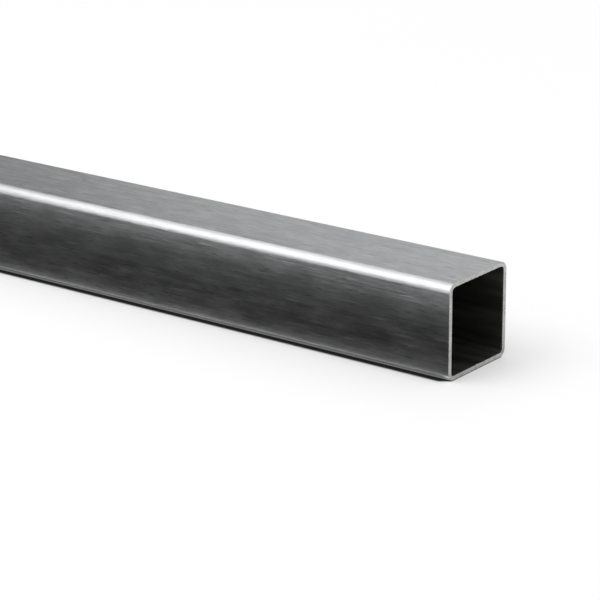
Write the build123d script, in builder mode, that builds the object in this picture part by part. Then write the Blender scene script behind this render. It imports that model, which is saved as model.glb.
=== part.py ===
"""Square hollow section of cold-formed, seam-welded steel: one stock length, sawn square at both ends.

The frame: X runs along the tube, Z is up, and the origin is the middle of the face that it lies on.
All sizes are in millimetres.
"""

import os

from build123d import *

# Sizes that a mill would quote for the section.
SIDE = 60.0
WALL = 3.0
INSIDE_BEND_RADIUS = 3.0
LENGTH = 1000.0

# The edges of the saw cuts are lightly broken with a brush wheel, which reaches less into the bore.
EDGE_BREAK = 0.15
BORE_EDGE_BREAK = 0.1

# The seam lies inside on the face underneath, trimmed to a low crown. Its root is in the wall.
SEAM_WIDTH = 3.2
SEAM_CROWN = 0.4
SEAM_ROOT = 1.5

OUTSIDE_BEND_RADIUS = INSIDE_BEND_RADIUS + WALL
MIDDLE_HEIGHT = SIDE / 2

# The section stands upright across the tube: its local x is Y and its local y is Z.
section_plane = Plane.YZ.offset(-LENGTH / 2)
seam_plane = Plane.YZ.offset(BORE_EDGE_BREAK - LENGTH / 2)

with BuildPart() as square_tube:
    # A strip of one thickness, bent round four equal corners.
    with BuildSketch(section_plane):
        with Locations((0, MIDDLE_HEIGHT)):
            RectangleRounded(SIDE, SIDE, OUTSIDE_BEND_RADIUS)
        offset(amount=-WALL, mode=Mode.SUBTRACT)
    extrude(amount=LENGTH)

    # Both saw cuts lose their sharp edges, first round the outside and then round the bore.
    outline = [edge for face in faces().filter_by(Axis.X) for edge in face.outer_wire().edges()]
    chamfer(outline, length=EDGE_BREAK)
    mouths = [wire for face in faces().filter_by(Axis.X) for wire in face.inner_wires()]
    chamfer([edge for mouth in mouths for edge in mouth.edges()], length=BORE_EDGE_BREAK)

    # The crown of the seam weld: a shallow arc that stands on the floor of the bore.
    with BuildSketch(seam_plane):
        with BuildLine():
            SagittaArc((SEAM_WIDTH / 2, WALL), (-SEAM_WIDTH / 2, WALL), -SEAM_CROWN)
            Polyline(
                (-SEAM_WIDTH / 2, WALL),
                (-SEAM_WIDTH / 2, WALL - SEAM_ROOT),
                (SEAM_WIDTH / 2, WALL - SEAM_ROOT),
                (SEAM_WIDTH / 2, WALL),
            )
        make_face()
    extrude(amount=LENGTH - 2 * BORE_EDGE_BREAK)

square_tube.part.label = "square_tube"

os.makedirs("parts", exist_ok=True)
export_step(square_tube.part, "parts/square_tube.step")
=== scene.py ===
"""One length of bright square steel tube lying on a pale floor, with both ends sawn square."""

from math import radians

import bmesh
import bpy
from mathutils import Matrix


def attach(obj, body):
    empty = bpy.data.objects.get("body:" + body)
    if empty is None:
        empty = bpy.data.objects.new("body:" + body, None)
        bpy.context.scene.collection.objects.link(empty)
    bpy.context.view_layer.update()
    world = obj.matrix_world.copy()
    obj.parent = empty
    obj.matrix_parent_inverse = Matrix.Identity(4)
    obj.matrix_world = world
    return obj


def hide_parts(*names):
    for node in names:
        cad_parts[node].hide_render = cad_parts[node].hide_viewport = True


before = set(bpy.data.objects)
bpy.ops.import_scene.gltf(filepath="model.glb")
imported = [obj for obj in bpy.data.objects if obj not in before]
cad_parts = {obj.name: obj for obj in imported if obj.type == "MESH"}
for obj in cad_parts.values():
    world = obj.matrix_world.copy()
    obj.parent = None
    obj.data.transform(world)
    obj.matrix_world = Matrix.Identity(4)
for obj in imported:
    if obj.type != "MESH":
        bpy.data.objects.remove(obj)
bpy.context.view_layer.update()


# Camera
# It stands to the right of the sawn end and a little above it, with a long lens, so that the
# tube runs away to the left and out of the picture.
bpy.ops.object.camera_add(
    location=(1.30429, -1.23108, 0.53185),
    rotation=(radians(71.5848), radians(0.2476), radians(37.1296)),
)
camera = bpy.context.active_object
camera.name = "camera"
camera.data.sensor_width = 36.0
camera.data.lens = 158.94
camera.data.clip_start = 0.01
camera.data.clip_end = 50.0
bpy.context.scene.camera = camera
bpy.context.scene.view_settings.view_transform = "Standard"


# Floor
# A sweep of matt white paper. It takes the tube's soft shadow and shows white beyond it. The paper's
# tones follow the size of the tube that lies on it: a painted shadow line under the bend, and painted
# white away from the tube.
FLOOR_SIZE = 12.0
LENGTH = 1.0
SIDE = 0.060


def linear(hex_colour):
    """An sRGB colour such as "#a0a0a0" as the linear red, green, blue and alpha of a shader."""
    channels = [int(hex_colour[i : i + 2], 16) / 255 for i in (1, 3, 5)]
    return [c / 12.92 if c <= 0.04045 else ((c + 0.055) / 1.055) ** 2.4 for c in channels] + [1.0]


def add_node(material, kind, settings=None, inputs=None, **named_inputs):
    """Adds a node to a material. Each input takes either a socket, which is linked, or a value."""
    node = material.node_tree.nodes.new(kind)
    for name, value in (settings or {}).items():
        setattr(node, name, value)
    by_name = {name.replace("_", " "): value for name, value in named_inputs.items()}
    for key, value in {**(inputs or {}), **by_name}.items():
        if isinstance(value, bpy.types.NodeSocket):
            material.node_tree.links.new(value, node.inputs[key])
        else:
            node.inputs[key].default_value = value
    return node


def set_stops(ramp, stops, start=0.0, end=1.0):
    """Gives a ramp its stops: pairs of a place between start and end, and a colour or a grey."""
    for _ in stops[2:]:
        ramp.color_ramp.elements.new(0.5)
    for element, (place, colour) in zip(ramp.color_ramp.elements, stops):
        element.position = (place - start) / (end - start)
        element.color = linear(colour) if isinstance(colour, str) else (colour, colour, colour, 1.0)


def seen_ray(material):
    """1 for a ray of the camera, of a gloss or through glass, and 0 for the rays that light things."""
    rays = add_node(material, "ShaderNodeLightPath").outputs
    camera_or_gloss = add_node(
        material,
        "ShaderNodeMath",
        {"operation": "MAXIMUM"},
        {0: rays["Is Camera Ray"], 1: rays["Is Glossy Ray"]},
    )
    any_seen = add_node(
        material,
        "ShaderNodeMath",
        {"operation": "MAXIMUM"},
        {0: camera_or_gloss.outputs[0], 1: rays["Is Transmission Ray"]},
    )
    return any_seen.outputs[0]


bpy.ops.mesh.primitive_plane_add(size=FLOOR_SIZE, location=(0.0, 0.0, 0.0))
floor = bpy.context.active_object
floor.name = "floor"

# Matt white paper: a flat white, with a painted contact shadow along the tube's foot.
paper = bpy.data.materials.new("white_paper_painted_shade")
paper.use_nodes = True
surface = paper.node_tree.nodes["Principled BSDF"]
surface.inputs["Roughness"].default_value = 0.6
surface.inputs["Specular IOR Level"].default_value = 0.2
floor_place = add_node(paper, "ShaderNodeTexCoord").outputs["Object"]
mirrored = add_node(
    paper, "ShaderNodeVectorMath", {"operation": "ABSOLUTE"}, {0: floor_place}
).outputs[0]

# Away from the tube the paper is painted towards pure white for what is seen or mirrored, a painted
# light that fades out towards the tube, and close beside the tube it keeps its full shadow. Each pair is
# a distance from the tube and the share of pure white there. The painted white comes closer in front of
# the open ends, so the tube counts as shorter there.
LIFTS = ((0.0, 0.0), (0.006, 0.26), (0.012, 0.38), (0.025, 0.42), (0.045, 0.52), (0.080, 0.88))
LIFT_REACH = LIFTS[-1][0]
END_LEFT_OPEN = 0.007
beyond = add_node(
    paper,
    "ShaderNodeVectorMath",
    {"operation": "SUBTRACT"},
    {0: mirrored, 1: (LENGTH / 2 - END_LEFT_OPEN, SIDE / 2, 0.0)},
)
outside = add_node(
    paper, "ShaderNodeVectorMath", {"operation": "MAXIMUM"}, {0: beyond.outputs[0], 1: (0.0, 0.0, 0.0)}
)
distance = add_node(paper, "ShaderNodeVectorMath", {"operation": "LENGTH"}, {0: outside.outputs[0]})
how_far = add_node(paper, "ShaderNodeMapRange", Value=distance.outputs["Value"], From_Max=LIFT_REACH)
painted_white_lift = add_node(paper, "ShaderNodeValToRGB", Fac=how_far.outputs[0])
set_stops(painted_white_lift, LIFTS, end=LIFT_REACH)

# Where the bend closes down on the paper, a painted contact shadow darkens the paper's colour to a dark
# line. This dark line narrows to a point at the tube's end.
GAP_EDGE = 0.0297
GAP_FADE = 0.0322
GAP_POINT = 0.0065
GAP_NARROWS = 0.0050
CONTACT_SHADOW_TONE = "#101010"
from_middle = add_node(paper, "ShaderNodeSeparateXYZ", inputs={0: mirrored})
narrowing = add_node(
    paper,
    "ShaderNodeMapRange",
    Value=from_middle.outputs["X"],
    From_Min=LENGTH / 2 - GAP_POINT,
    From_Max=LENGTH / 2,
    To_Max=GAP_NARROWS,
)
out_of_middle = add_node(
    paper,
    "ShaderNodeMath",
    {"operation": "ADD"},
    {0: from_middle.outputs["Y"], 1: narrowing.outputs[0]},
)
past_gap = add_node(
    paper, "ShaderNodeMapRange", Value=out_of_middle.outputs[0], From_Min=GAP_EDGE, From_Max=GAP_FADE
)
past_end = add_node(
    paper,
    "ShaderNodeMath",
    {"operation": "GREATER_THAN"},
    {0: from_middle.outputs["X"], 1: LENGTH / 2},
)
open_paper = add_node(
    paper, "ShaderNodeMath", {"operation": "MAXIMUM"}, {0: past_gap.outputs[0], 1: past_end.outputs[0]}
)
# The painted contact shadow goes into the paper's colour here.
paper_and_painted_shadow = add_node(paper, "ShaderNodeValToRGB", Fac=open_paper.outputs[0])
set_stops(paper_and_painted_shadow, ((0.0, CONTACT_SHADOW_TONE), (1.0, "#ffffff")))
paper.node_tree.links.new(paper_and_painted_shadow.outputs["Color"], surface.inputs["Base Color"])
# Only what is seen or mirrored gets the painted white, and not the painted shadow line.
open_lift = add_node(
    paper, "ShaderNodeMath", {"operation": "MULTIPLY"}, {0: painted_white_lift.outputs[0], 1: open_paper.outputs[0]}
)
seen_lift = add_node(
    paper, "ShaderNodeMath", {"operation": "MULTIPLY"}, {0: open_lift.outputs[0], 1: seen_ray(paper)}
)
pure_white = add_node(paper, "ShaderNodeEmission", Color=linear("#ffffff"), Strength=1.0)
lifted = add_node(
    paper,
    "ShaderNodeMixShader",
    inputs={0: seen_lift.outputs[0], 1: surface.outputs[0], 2: pure_white.outputs[0]},
)
paper.node_tree.links.new(
    lifted.outputs[0], paper.node_tree.nodes["Material Output"].inputs["Surface"]
)
floor.data.materials.append(paper)


# Studio light
# A white room with one large soft box, high in front on the left. What else the metal mirrors is painted
# round it as glowing surfaces that only gloss sees: a grey wall that paints the reflection in the top, a
# low white card that paints the bend's highlight, and dark cards that paint mirrored shade into the
# sides. They light and shade nothing.
ROOM_LIGHT = 0.82
world = bpy.data.worlds.new("white_room")
bpy.context.scene.world = world
world.use_nodes = True
world.node_tree.nodes.clear()
lit = add_node(world, "ShaderNodeBackground", Color=linear("#ffffff"), Strength=ROOM_LIGHT)
shown = add_node(world, "ShaderNodeBackground", Color=linear("#ffffff"), Strength=1.0)
either = add_node(
    world, "ShaderNodeMixShader", inputs={0: seen_ray(world), 1: lit.outputs[0], 2: shown.outputs[0]}
)
add_node(world, "ShaderNodeOutputWorld", Surface=either.outputs[0])

BOX_PLACE = (-0.50, -0.941, 1.046)
BOX_TILT = radians(35.0)
BOX_WIDTH = 1.6
BOX_HEIGHT = 1.66
BOX_WATTS = 13.6
bpy.ops.object.light_add(type="AREA", location=BOX_PLACE, rotation=(BOX_TILT, 0.0, 0.0))
soft_box = bpy.context.active_object
soft_box.name = "soft_box"
soft_box.data.shape = "RECTANGLE"
soft_box.data.size = BOX_WIDTH
soft_box.data.size_y = BOX_HEIGHT
soft_box.data.energy = BOX_WATTS
soft_box.visible_glossy = False


def glowing(name, strength):
    """A material that only glows white, and its light, which a pattern of greys can dim."""
    material = bpy.data.materials.new(name)
    material.use_nodes = True
    material.node_tree.nodes.clear()
    light = add_node(material, "ShaderNodeEmission", Color=linear("#ffffff"), Strength=strength)
    add_node(material, "ShaderNodeOutputMaterial", Surface=light.outputs[0])
    return material, light


# Gloss does not see the lamp itself; a glowing white front in the lamp's own place paints the soft box's
# reflection into the metal.
BOX_FRONT_GLOW = 1.55
bpy.ops.mesh.primitive_plane_add(size=1.0, location=BOX_PLACE, rotation=(BOX_TILT, 0.0, 0.0))
box_front = bpy.context.active_object
box_front.name = "soft_box_front"
box_front.scale = (BOX_WIDTH, BOX_HEIGHT, 1.0)
box_front.data.materials.append(glowing("soft_box_front", BOX_FRONT_GLOW)[0])

# The grey wall glows, and only gloss sees it: it paints the reflection in the top of the tube, darker
# towards the far end of the tube. Each pair is a place along the tube and the wall's grey there.
WALL_RADIUS = 1.8
WALL_LOW_EDGE = 0.08
WALL_HIGH_EDGE = 1.95
WALL_GREYS = ((-1.25, 0.29), (-0.92, 0.61), (-0.50, 0.72))
bpy.ops.mesh.primitive_cylinder_add(
    radius=WALL_RADIUS,
    depth=WALL_HIGH_EDGE - WALL_LOW_EDGE,
    end_fill_type="NOTHING",
    vertices=96,
    location=(0.0, 0.0, (WALL_LOW_EDGE + WALL_HIGH_EDGE) / 2),
)
grey_wall = bpy.context.active_object
grey_wall.name = "grey_wall"
wall_grey, wall_glow = glowing("grey_wall", 1.0)
wall_place = add_node(wall_grey, "ShaderNodeTexCoord").outputs["Object"]
along_wall = add_node(wall_grey, "ShaderNodeSeparateXYZ", inputs={0: wall_place})
place_on_wall = add_node(
    wall_grey,
    "ShaderNodeMapRange",
    Value=along_wall.outputs["X"],
    From_Min=WALL_GREYS[0][0],
    From_Max=WALL_GREYS[-1][0],
)
wall_shade = add_node(wall_grey, "ShaderNodeValToRGB", Fac=place_on_wall.outputs[0])
set_stops(wall_shade, WALL_GREYS, WALL_GREYS[0][0], WALL_GREYS[-1][0])
wall_grey.node_tree.links.new(wall_shade.outputs["Color"], wall_glow.inputs["Color"])
grey_wall.data.materials.append(wall_grey)

# A low glowing white card under the soft box, seen only by gloss, paints the bend's highlight on along
# the far half of the tube.
LOW_CARD_PLACE = (-0.83, -1.38, 0.53)
LOW_CARD_SIZE = (0.56, 0.01, 0.94)
LOW_CARD_GLOW = 1.6
bpy.ops.mesh.primitive_cube_add(size=1.0, location=LOW_CARD_PLACE, scale=LOW_CARD_SIZE)
low_card = bpy.context.active_object
low_card.name = "low_card"
low_card.data.materials.append(glowing("low_white_card", LOW_CARD_GLOW)[0])

# The dark cards lie along both sides of the tube, each with a strip that reaches in under the bend, and
# one more strip fills the gap under the tube itself. Only gloss sees them: they paint mirrored shade
# into the sides and the lower bends. The near card is tipped down a little towards the end in view. The
# far card stands closer and ends with the tube, so that the sawn end still mirrors the white floor. Each
# card has its side, its distance from the tube's middle, its height, its length and its tip in degrees.
CARD_PLACES = {"near": (-1, 0.0519, 0.0482, 1.06, 0.7), "far": (1, 0.0420, 0.0460, 1.01, 0.0)}
CARD_DEPTH = 0.045
STRIP_EDGE = 0.0317
STRIP_HEIGHT = 0.0003
UNDER_EDGE = 0.0288
UNDER_LENGTH = 1.002

# Their greys run from the strip up the card. Each pair is a place and a grey there: how far up the
# card, or as a negative number how far in from the near card's foot.
CARD_GREYS = (
    (-0.020, 0.22),
    (-0.010, 0.19),
    (-0.006, 0.03),
    (0.000, 0.02),
    (0.010, 0.01),
    (0.020, 0.02),
    (0.030, 0.06),
    (0.0385, 0.085),
    (0.0440, 0.19),
)
# The cards' glowing greys are the painted shade that the sides of the tube mirror.
painted_shade_card, card_glow = glowing("painted_shade_card", 1.0)
card_place = add_node(painted_shade_card, "ShaderNodeTexCoord").outputs["Object"]
card_parts = add_node(painted_shade_card, "ShaderNodeSeparateXYZ", inputs={0: card_place})
across_card = add_node(
    painted_shade_card, "ShaderNodeMath", {"operation": "ABSOLUTE"}, {0: card_parts.outputs["Y"]}
)
past_foot = add_node(
    painted_shade_card,
    "ShaderNodeMath",
    {"operation": "SUBTRACT"},
    {0: across_card.outputs[0], 1: CARD_PLACES["near"][1]},
)
in_from_foot = add_node(
    painted_shade_card, "ShaderNodeMath", {"operation": "MINIMUM"}, {0: past_foot.outputs[0], 1: 0.0}
)
along_card = add_node(
    painted_shade_card,
    "ShaderNodeMath",
    {"operation": "ADD"},
    {0: in_from_foot.outputs[0], 1: card_parts.outputs["Z"]},
)
place_on_card = add_node(
    painted_shade_card,
    "ShaderNodeMapRange",
    Value=along_card.outputs[0],
    From_Min=CARD_GREYS[0][0],
    From_Max=CARD_GREYS[-1][0],
)
card_shade = add_node(painted_shade_card, "ShaderNodeValToRGB", Fac=place_on_card.outputs[0])
set_stops(card_shade, CARD_GREYS, CARD_GREYS[0][0], CARD_GREYS[-1][0])
painted_shade_card.node_tree.links.new(card_shade.outputs["Color"], card_glow.inputs["Color"])

cards = [box_front, grey_wall, low_card]
for name, (side, near_edge, height, length, tip) in CARD_PLACES.items():
    bpy.ops.mesh.primitive_cube_add(
        size=1.0,
        location=(0.0, side * (near_edge + CARD_DEPTH / 2), 0.0),
        rotation=(0.0, radians(tip), 0.0),
        scale=(length, CARD_DEPTH, 2 * height),
    )
    bpy.context.active_object.name = "painted_shade_card_" + name
    cards.append(bpy.context.active_object)
    bpy.ops.mesh.primitive_plane_add(
        size=1.0, location=(0.0, side * (near_edge + STRIP_EDGE) / 2, STRIP_HEIGHT)
    )
    bpy.context.active_object.scale = (length, near_edge - STRIP_EDGE, 1.0)
    bpy.context.active_object.name = "painted_shade_strip_" + name
    cards.append(bpy.context.active_object)
bpy.ops.mesh.primitive_plane_add(size=1.0, location=(0.0, 0.0, STRIP_HEIGHT / 3))
bpy.context.active_object.scale = (UNDER_LENGTH, 2 * UNDER_EDGE, 1.0)
bpy.context.active_object.name = "painted_shade_strip_under"
cards.append(bpy.context.active_object)
for card in cards:
    bpy.ops.object.select_all(action="DESELECT")
    card.select_set(True)
    bpy.context.view_layer.objects.active = card
    bpy.ops.object.transform_apply(location=True, rotation=True, scale=True)
    if not card.data.materials:
        card.data.materials.append(painted_shade_card)
    for ray in ("camera", "diffuse", "shadow", "transmission", "volume_scatter"):
        setattr(card, "visible_" + ray, False)


# Tube
# Cold-rolled strip steel, bent square round four corners and welded along the middle of the face
# underneath. The weld is scarfed flush outside and leaves a low crown inside. Both ends are sawn
# square and their sharp edges are broken.
WALL = 0.003
OUTSIDE_BEND = 0.006
EDGE_BREAK = 0.00015
BORE_EDGE_BREAK = 0.0001
BORE_HALF = SIDE / 2 - WALL
STRAIGHT_HALF = SIDE / 2 - OUTSIDE_BEND
TINY = 1e-5


def pick(tube_mesh, mode, wanted):
    """Selects the faces, edges or vertices in edit mode for which wanted(element) is true."""
    bpy.ops.mesh.select_mode(type=mode)
    bpy.ops.mesh.select_all(action="DESELECT")
    shape = bmesh.from_edit_mesh(tube_mesh)
    elements = {"VERT": shape.verts, "EDGE": shape.edges, "FACE": shape.faces}[mode]
    for element in elements:
        if wanted(element):
            element.select_set(True)
    bmesh.update_edit_mesh(tube_mesh)


def from_axis(point):
    """How far a point lies from the tube's axis, to the side and up or down."""
    return abs(point.y), abs(point.z - SIDE / 2)


bpy.ops.object.select_all(action="DESELECT")
bpy.ops.mesh.primitive_cube_add(size=1.0, location=(0.0, 0.0, SIDE / 2), scale=(LENGTH, SIDE, SIDE))
tube = bpy.context.active_object
tube.name = "steel_tube"
tube.data.name = "steel_tube"
bpy.ops.object.transform_apply(location=True, rotation=True, scale=True)
bpy.ops.object.mode_set(mode="EDIT")

# The four long edges are rounded to the outside bend.
pick(tube.data, "EDGE", lambda e: abs(e.verts[0].co.x - e.verts[1].co.x) > LENGTH / 2)
bpy.ops.mesh.bevel(offset=OUTSIDE_BEND, offset_type="OFFSET", segments=16, profile=0.5, affect="EDGES")

# The ends are inset by the wall, and the two inner outlines are bridged to make the bore.
pick(tube.data, "FACE", lambda f: abs(f.normal.x) > 0.9)
bpy.ops.mesh.inset(thickness=WALL, use_even_offset=True)
bpy.ops.mesh.bridge_edge_loops()

# The edges of both saw cuts are broken, the outline more than the mouth of the bore.
for size, in_bore in ((EDGE_BREAK, False), (BORE_EDGE_BREAK, True)):
    pick(
        tube.data,
        "EDGE",
        lambda e: all(abs(abs(v.co.x) - LENGTH / 2) < TINY for v in e.verts)
        and len(e.link_faces) == 2
        and abs(abs(e.link_faces[0].normal.x) - abs(e.link_faces[1].normal.x)) > 0.9
        and in_bore == (max(from_axis(e.verts[0].co)) < SIDE / 2 - WALL / 2),
    )
    bpy.ops.mesh.bevel(offset=size, offset_type="OFFSET", segments=2, profile=0.5, affect="EDGES")

# The floor of the bore is cut lengthwise, and the cuts are lifted to the round crown of the weld.
SEAM_WIDTH = 0.0032
SEAM_CROWN = 0.0004
SEAM_STEPS = 8
for step in range(SEAM_STEPS + 1):
    across = SEAM_WIDTH * (step / SEAM_STEPS - 0.5)
    pick(
        tube.data,
        "FACE",
        lambda f: f.normal.z > 0.99 and abs(f.calc_center_median().z - WALL) < TINY,
    )
    bpy.ops.mesh.bisect(plane_co=(0.0, across, WALL), plane_no=(0.0, 1.0, 0.0))
for step in range(1, SEAM_STEPS):
    across = SEAM_WIDTH * (step / SEAM_STEPS - 0.5)
    rise = SEAM_CROWN * (1 - (2 * across / SEAM_WIDTH) ** 2)
    pick(tube.data, "VERT", lambda v: abs(v.co.y - across) < TINY and abs(v.co.z - WALL) < TINY)
    bpy.ops.transform.translate(value=(0.0, 0.0, rise))

# Outside, the weld is planed flush, which leaves a flat band along the face underneath.
SCARF_WIDTH = 0.0044
for across in (-SCARF_WIDTH / 2, SCARF_WIDTH / 2):
    pick(tube.data, "FACE", lambda f: f.normal.z < -0.99 and f.calc_center_median().z < TINY)
    bpy.ops.mesh.bisect(plane_co=(0.0, across, 0.0), plane_no=(0.0, 1.0, 0.0))

# At each mouth the corners of the bore are filed out a little sharper than the bend inside, and the
# upper edge, which the saw leaves ragged, is filed back unevenly.
COLLAR = 0.002
CORNER_FILED = 0.75
RAGGED_STEPS = 60
RAGGED_CUT = 0.00022
RAGGED_RANDOM = 0.00020
RAGGED_REACH = RAGGED_CUT + RAGGED_RANDOM
for end in (-1, 1):
    pick(
        tube.data,
        "FACE",
        lambda f: abs(f.normal.x) < 0.1 and max(from_axis(f.calc_center_median())) < BORE_HALF + TINY,
    )
    bpy.ops.mesh.bisect(plane_co=(end * (LENGTH / 2 - COLLAR), 0.0, 0.0), plane_no=(1.0, 0.0, 0.0))
    for side, level in ((-1, -1), (-1, 1), (1, -1), (1, 1)):
        pick(
            tube.data,
            "VERT",
            lambda v: end * v.co.x > LENGTH / 2 - BORE_EDGE_BREAK - TINY
            and min(side * v.co.y, level * (v.co.z - SIDE / 2)) > STRAIGHT_HALF - TINY
            and max(from_axis(v.co)) < BORE_HALF + BORE_EDGE_BREAK + TINY,
        )
        bpy.ops.transform.resize(
            value=(1.0, CORNER_FILED, CORNER_FILED),
            center_override=(0.0, side * BORE_HALF, SIDE / 2 + level * BORE_HALF),
        )
    pick(
        tube.data,
        "EDGE",
        lambda e: e.calc_length() > SIDE / 2
        and all(end * v.co.x > LENGTH / 2 - COLLAR - TINY for v in e.verts)
        and all(SIDE - WALL - TINY < v.co.z < SIDE - EDGE_BREAK + TINY for v in e.verts),
    )
    bpy.ops.mesh.subdivide(number_cuts=RAGGED_STEPS)
    pick(
        tube.data,
        "VERT",
        lambda v: end * v.co.x > LENGTH / 2 - BORE_EDGE_BREAK - TINY
        and abs(v.co.z - SIDE + WALL) < BORE_EDGE_BREAK + TINY
        and abs(v.co.y) < STRAIGHT_HALF - TINY,
    )
    bpy.ops.transform.translate(value=(-end * RAGGED_CUT, 0.0, RAGGED_CUT))
    bpy.ops.transform.vertex_random(offset=RAGGED_RANDOM, uniform=0.0, normal=0.0, seed=5 + end)

# The bends are shaded smooth, and every corner sharper than this stays sharp.
SMOOTH_UNDER = radians(20)
bpy.ops.mesh.select_all(action="SELECT")
bpy.ops.mesh.remove_doubles(threshold=1e-6)
bpy.ops.mesh.normals_make_consistent(inside=False)
bpy.ops.object.mode_set(mode="OBJECT")
bpy.ops.object.shade_smooth_by_angle(angle=SMOOTH_UNDER)

# Bright rolled steel: strip rolled to a bright grain, rubbed lengthwise by the bending rolls and left
# under a thin film of oil, with low hollows some 50 mm long. The bends are paler: partly burnish from
# the rolls, which press hardest there, and partly a painted highlight that brightens their gloss. The
# roll marks and the grain are about 0.1 mm wide on the real steel and are drawn 1 to 1.6 mm wide, so
# that they show.
FLAT_TONES = ((0.36, "#adaeb0"), (0.64, "#c6c7c8"))
BEND_TONES_AND_HIGHLIGHT = ((0.36, "#dadbdd"), (0.64, "#ecedee"))
RUBBED_TONE = "#d2d3d4"
SPECK_TONE = "#9d9ea1"
BURNISH_STARTS = STRAIGHT_HALF + 0.0007
BURNISH_FULL = STRAIGHT_HALF + 0.0030
BURNISH_AND_HIGHLIGHT = 0.8
HOLLOW_DEPTH = 0.00017
GRAIN_DEPTH = 0.00011
bright_steel = bpy.data.materials.new("bright_rolled_steel")
bright_steel.use_nodes = True
steel = bright_steel.node_tree.nodes["Principled BSDF"]
steel.inputs["Metallic"].default_value = 1.0
place = add_node(bright_steel, "ShaderNodeTexCoord").outputs["Object"]


def streaks(material, place, length, width, detail):
    """Noise drawn out along the tube: streaks of about this length and width, in metres."""
    stretched = add_node(
        material, "ShaderNodeMapping", Vector=place, Scale=(1 / length, 1 / width, 1 / width)
    )
    noise = add_node(
        material,
        "ShaderNodeTexNoise",
        Vector=stretched.outputs[0],
        Scale=1.0,
        Detail=detail,
        Roughness=0.5,
    )
    return noise.outputs["Fac"]


roll_marks = streaks(bright_steel, place, 0.070, 0.0016, 1.0)
rolled_grain = streaks(bright_steel, place, 0.0050, 0.0010, 1.0)
oil_film = streaks(bright_steel, place, 0.018, 0.0065, 2.0)
hollows = streaks(bright_steel, place, 0.055, 0.010, 1.0)
rub_marks = streaks(bright_steel, place, 0.022, 0.0010, 0.0)
oil_specks = streaks(bright_steel, place, 0.009, 0.0009, 0.0)

# The flats take the tones of the grain under the oil, with bright rubbed lines and dark oily specks.
grain_and_marks = add_node(
    bright_steel, "ShaderNodeMix", {"data_type": "FLOAT"}, {0: 0.5, 2: roll_marks, 3: rolled_grain}
)
film_over_grain = add_node(
    bright_steel,
    "ShaderNodeMix",
    {"data_type": "FLOAT"},
    {0: 0.55, 2: oil_film, 3: grain_and_marks.outputs[0]},
)
flat_tone = add_node(bright_steel, "ShaderNodeValToRGB", Fac=film_over_grain.outputs[0])
set_stops(flat_tone, FLAT_TONES)
rubbed = add_node(bright_steel, "ShaderNodeMapRange", Value=rub_marks, From_Min=0.66, From_Max=0.78)
rubbed_tone = add_node(
    bright_steel,
    "ShaderNodeMix",
    {"data_type": "RGBA"},
    {0: rubbed.outputs[0], 6: flat_tone.outputs["Color"], 7: linear(RUBBED_TONE)},
)
specked = add_node(bright_steel, "ShaderNodeMapRange", Value=oil_specks, From_Min=0.69, From_Max=0.80)
flat_shade = add_node(
    bright_steel,
    "ShaderNodeMix",
    {"data_type": "RGBA"},
    {0: specked.outputs[0], 6: rubbed_tone.outputs[2], 7: linear(SPECK_TONE)},
)

# The bend tones are paler, part burnish from the rolls and part painted highlight.
# A point is on a bend where it is far from the axis both ways, so the lesser distance tells.
bend_tone_and_highlight = add_node(bright_steel, "ShaderNodeValToRGB", Fac=film_over_grain.outputs[0])
set_stops(bend_tone_and_highlight, BEND_TONES_AND_HIGHLIGHT)
above_axis = add_node(
    bright_steel,
    "ShaderNodeVectorMath",
    {"operation": "SUBTRACT"},
    {0: place, 1: (0.0, 0.0, SIDE / 2)},
)
off_axis = add_node(
    bright_steel, "ShaderNodeVectorMath", {"operation": "ABSOLUTE"}, {0: above_axis.outputs[0]}
)
off_axis_parts = add_node(bright_steel, "ShaderNodeSeparateXYZ", inputs={0: off_axis.outputs[0]})
lesser_part = add_node(
    bright_steel,
    "ShaderNodeMath",
    {"operation": "MINIMUM"},
    {0: off_axis_parts.outputs["Y"], 1: off_axis_parts.outputs["Z"]},
)
burnish_and_highlight = add_node(
    bright_steel,
    "ShaderNodeMapRange",
    {"interpolation_type": "SMOOTHSTEP"},
    Value=lesser_part.outputs[0],
    From_Min=BURNISH_STARTS,
    From_Max=BURNISH_FULL,
    To_Max=BURNISH_AND_HIGHLIGHT,
)
# On the bends the paler tone, part burnish and part painted highlight, mostly covers the rubbed lines
# and the specks.
shade = add_node(
    bright_steel,
    "ShaderNodeMix",
    {"data_type": "RGBA"},
    {0: burnish_and_highlight.outputs[0], 6: flat_shade.outputs[2], 7: bend_tone_and_highlight.outputs["Color"]},
)
bright_steel.node_tree.links.new(shade.outputs[2], steel.inputs["Base Color"])

# The oil dulls the gloss a little, the roll marks streak it and the rubbed lines are scratched.
gloss = add_node(
    bright_steel,
    "ShaderNodeMapRange",
    Value=oil_film,
    From_Min=0.3,
    From_Max=0.7,
    To_Min=0.295,
    To_Max=0.355,
)
gloss_streak = add_node(
    bright_steel,
    "ShaderNodeMapRange",
    Value=roll_marks,
    From_Min=0.3,
    From_Max=0.7,
    To_Min=-0.015,
    To_Max=0.015,
)
scratched = add_node(
    bright_steel, "ShaderNodeMath", {"operation": "MULTIPLY"}, {0: rubbed.outputs[0], 1: 0.05}
)
film_and_marks = add_node(
    bright_steel,
    "ShaderNodeMath",
    {"operation": "ADD"},
    {0: gloss.outputs[0], 1: gloss_streak.outputs[0]},
)
roughness = add_node(
    bright_steel,
    "ShaderNodeMath",
    {"operation": "ADD"},
    {0: film_and_marks.outputs[0], 1: scratched.outputs[0]},
)
bright_steel.node_tree.links.new(roughness.outputs[0], steel.inputs["Roughness"])
waves = add_node(
    bright_steel, "ShaderNodeBump", Height=hollows, Strength=1.0, Distance=HOLLOW_DEPTH
)
lines = add_node(
    bright_steel,
    "ShaderNodeBump",
    Height=grain_and_marks.outputs[0],
    Normal=waves.outputs[0],
    Strength=1.0,
    Distance=GRAIN_DEPTH,
)
bright_steel.node_tree.links.new(lines.outputs[0], steel.inputs["Normal"])
tube.data.materials.append(bright_steel)

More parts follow.
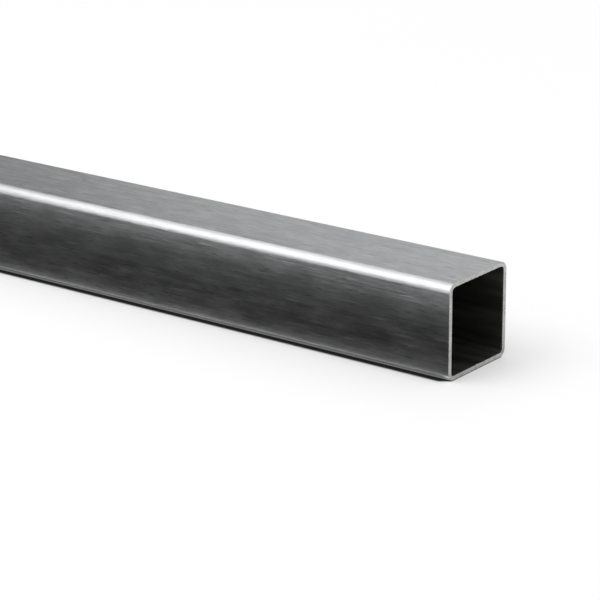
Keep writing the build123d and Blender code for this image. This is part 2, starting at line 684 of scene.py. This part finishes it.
# Sawn steel: the cut through the wall, a little darker than the rolled faces. The teeth of the band
# leave fine level marks across it, here and there with a dark speck of burr. The marks are about
# 0.3 mm apart on the real cut and are drawn 0.8 mm apart, so that they show.
CUT_TONES = ((0.35, "#afafae"), (0.65, "#c1c1c0"))
BURR_TONE = "#6f6e6b"
SAW_MARK_DEPTH = 0.00004
sawn_steel = bpy.data.materials.new("sawn_steel")
sawn_steel.use_nodes = True
cut = sawn_steel.node_tree.nodes["Principled BSDF"]
cut.inputs["Metallic"].default_value = 1.0
cut_place = add_node(sawn_steel, "ShaderNodeTexCoord").outputs["Object"]


def cut_noise(across, up, detail):
    """Noise on the sawn face, as wide and as high as this, in metres."""
    stretched = add_node(
        sawn_steel, "ShaderNodeMapping", Vector=cut_place, Scale=(50.0, 1 / across, 1 / up)
    )
    noise = add_node(
        sawn_steel, "ShaderNodeTexNoise", Vector=stretched.outputs[0], Scale=1.0, Detail=detail
    )
    return noise.outputs["Fac"]


saw_marks = cut_noise(0.012, 0.0008, 1.0)
cut_stain = cut_noise(0.006, 0.006, 2.0)
burrs = cut_noise(0.0011, 0.0009, 0.0)
cut_tone = add_node(sawn_steel, "ShaderNodeValToRGB", Fac=cut_stain)
set_stops(cut_tone, CUT_TONES)
burred = add_node(sawn_steel, "ShaderNodeMapRange", Value=burrs, From_Min=0.68, From_Max=0.76)
cut_shade = add_node(
    sawn_steel,
    "ShaderNodeMix",
    {"data_type": "RGBA"},
    {0: burred.outputs[0], 6: cut_tone.outputs["Color"], 7: linear(BURR_TONE)},
)
sawn_steel.node_tree.links.new(cut_shade.outputs[2], cut.inputs["Base Color"])
cut_gloss = add_node(
    sawn_steel,
    "ShaderNodeMapRange",
    Value=saw_marks,
    From_Min=0.3,
    From_Max=0.7,
    To_Min=0.33,
    To_Max=0.46,
)
sawn_steel.node_tree.links.new(cut_gloss.outputs[0], cut.inputs["Roughness"])
cut_bump = add_node(
    sawn_steel, "ShaderNodeBump", Height=saw_marks, Strength=1.0, Distance=SAW_MARK_DEPTH
)
sawn_steel.node_tree.links.new(cut_bump.outputs[0], cut.inputs["Normal"])
tube.data.materials.append(sawn_steel)

# Mill-finish steel: the inside of the tube, which the rolls never polished, dull and oily, in long
# dim streaks. Next to the weld the heat has tinted it, straw brown further out and blue close by.
MILL_TONES = ((0.36, "#626360"), (0.64, "#767773"))
HEAT_TINTS = ((0.20, "#515664"), (0.38, "#5a5462"), (0.55, "#71634e"), (1.0, "#757571"))
HEAT_WIDTH = 0.0085
HEAT_WAVERS = 0.0012
mill_steel = bpy.data.materials.new("mill_finish_steel")
mill_steel.use_nodes = True
inside = mill_steel.node_tree.nodes["Principled BSDF"]
inside.inputs["Metallic"].default_value = 1.0
mill_place = add_node(mill_steel, "ShaderNodeTexCoord").outputs["Object"]
oil_streaks = streaks(mill_steel, mill_place, 0.060, 0.005, 2.0)
mill_tone = add_node(mill_steel, "ShaderNodeValToRGB", Fac=oil_streaks)
set_stops(mill_tone, MILL_TONES)
in_bore = add_node(mill_steel, "ShaderNodeSeparateXYZ", inputs={0: mill_place})
from_weld = add_node(
    mill_steel, "ShaderNodeMath", {"operation": "ABSOLUTE"}, {0: in_bore.outputs["Y"]}
)
wavering = add_node(
    mill_steel, "ShaderNodeMapRange", Value=oil_streaks, To_Min=-HEAT_WAVERS, To_Max=HEAT_WAVERS
)
heat_edge = add_node(
    mill_steel, "ShaderNodeMath", {"operation": "ADD"}, {0: from_weld.outputs[0], 1: wavering.outputs[0]}
)
heat = add_node(mill_steel, "ShaderNodeMapRange", Value=heat_edge.outputs[0], From_Max=HEAT_WIDTH)
heat_tint = add_node(mill_steel, "ShaderNodeValToRGB", Fac=heat.outputs[0])
set_stops(heat_tint, HEAT_TINTS)
near_floor = add_node(
    mill_steel,
    "ShaderNodeMapRange",
    Value=in_bore.outputs["Z"],
    From_Min=WALL + 0.0005,
    From_Max=WALL + 0.001,
    To_Min=1.0,
    To_Max=0.0,
)
near_weld = add_node(
    mill_steel,
    "ShaderNodeMapRange",
    Value=heat.outputs[0],
    From_Min=0.6,
    From_Max=1.0,
    To_Min=0.8,
    To_Max=0.0,
)
tinted = add_node(
    mill_steel,
    "ShaderNodeMath",
    {"operation": "MULTIPLY"},
    {0: near_floor.outputs[0], 1: near_weld.outputs[0]},
)
mill_shade = add_node(
    mill_steel,
    "ShaderNodeMix",
    {"data_type": "RGBA"},
    {0: tinted.outputs[0], 6: mill_tone.outputs["Color"], 7: heat_tint.outputs["Color"]},
)
mill_steel.node_tree.links.new(mill_shade.outputs[2], inside.inputs["Base Color"])
mill_gloss = add_node(
    mill_steel,
    "ShaderNodeMapRange",
    Value=oil_streaks,
    From_Min=0.3,
    From_Max=0.7,
    To_Min=0.44,
    To_Max=0.56,
)
mill_steel.node_tree.links.new(mill_gloss.outputs[0], inside.inputs["Roughness"])
tube.data.materials.append(mill_steel)


# Welded steel: the crown of the weld in the bore, burnt blue-grey and rippled as it set, and the
# band under the tube where it was planed off hot, pale, with fine chatter marks across. The ripples
# and the chatter marks are about 0.4 mm apart on the real tube and are drawn 1 mm apart, so that
# they show.
def weld_steel(name, tones, gloss_range, ripple_depth):
    """Steel with ripples across the tube, between two tones and two roughnesses."""
    weld = bpy.data.materials.new(name)
    weld.use_nodes = True
    metal = weld.node_tree.nodes["Principled BSDF"]
    metal.inputs["Metallic"].default_value = 1.0
    weld_place = add_node(weld, "ShaderNodeTexCoord").outputs["Object"]
    ripples = streaks(weld, weld_place, 0.0010, 0.0080, 1.0)
    stain = streaks(weld, weld_place, 0.0250, 0.0030, 2.0)
    weld_tone = add_node(weld, "ShaderNodeValToRGB", Fac=stain)
    set_stops(weld_tone, tones)
    weld.node_tree.links.new(weld_tone.outputs["Color"], metal.inputs["Base Color"])
    weld_gloss = add_node(
        weld,
        "ShaderNodeMapRange",
        Value=stain,
        From_Min=0.3,
        From_Max=0.7,
        To_Min=gloss_range[0],
        To_Max=gloss_range[1],
    )
    weld.node_tree.links.new(weld_gloss.outputs[0], metal.inputs["Roughness"])
    weld_bump = add_node(weld, "ShaderNodeBump", Height=ripples, Strength=1.0, Distance=ripple_depth)
    weld.node_tree.links.new(weld_bump.outputs[0], metal.inputs["Normal"])
    tube.data.materials.append(weld)


weld_steel("weld_crown_steel", ((0.36, "#43485a"), (0.64, "#6a6157")), (0.42, 0.52), 0.00008)
weld_steel("planed_weld_steel", ((0.36, "#b5b4b2"), (0.64, "#c7c6c4")), (0.34, 0.44), 0.00003)

# Each face takes the steel of its place on the tube, and all others keep the bright rolled steel.
index_of = tube.data.materials.find
for polygon in tube.data.polygons:
    ahead, left, up = polygon.center
    if abs(ahead) > LENGTH / 2 - RAGGED_REACH:
        polygon.material_index = index_of("sawn_steel")
    elif abs(left) < SEAM_WIDTH / 2 and WALL - TINY < up < SIDE / 2:
        polygon.material_index = index_of("weld_crown_steel")
    elif abs(left) < SCARF_WIDTH / 2 and up < TINY:
        polygon.material_index = index_of("planed_weld_steel")
    elif max(from_axis(polygon.center)) < BORE_HALF + RAGGED_REACH:
        polygon.material_index = index_of("mill_finish_steel")

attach(tube, "root")
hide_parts("square_tube")
